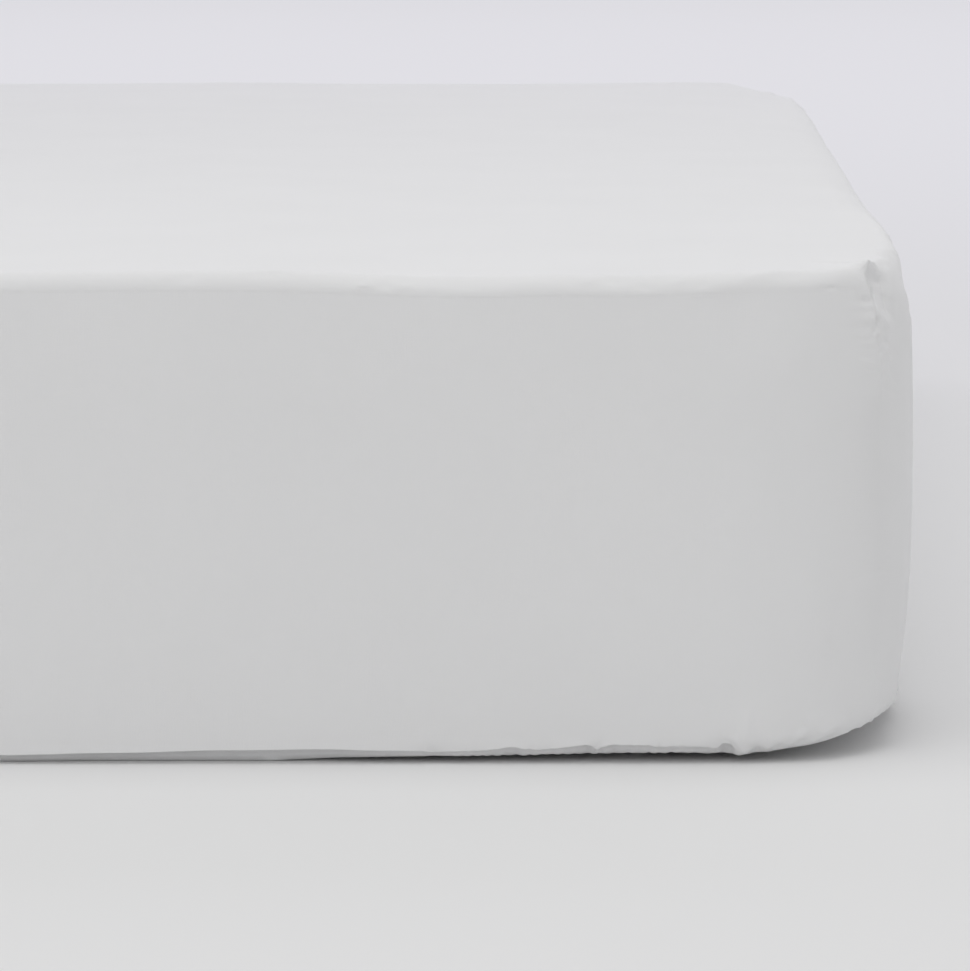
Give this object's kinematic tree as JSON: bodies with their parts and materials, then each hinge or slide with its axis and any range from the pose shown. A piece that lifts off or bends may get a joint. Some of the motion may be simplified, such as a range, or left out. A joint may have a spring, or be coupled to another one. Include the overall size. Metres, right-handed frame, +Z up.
{
  "type": "fitted sheet on mattress",
  "caption": "White cotton fitted sheet pulled tight over a rounded single mattress, seamed at the corners, with its gathered hem turned under.",
  "frame": {"origin": "on the ground, under the middle of the made-up mattress", "axes": "+Y along the length of the mattress, +X across its width, +Z up"},
  "size_m": [0.9, 2, 0.2833],
  "materials": {
    "sheet_cotton": "plain-woven matt cotton, white",
    "mattress_ticking": "plain matt mattress ticking, off-white"
  },
  "bodies": {
    "root": {"fitted_sheet": "sheet_cotton", "mattress": "mattress_ticking"}
  },
  "joints": []
}
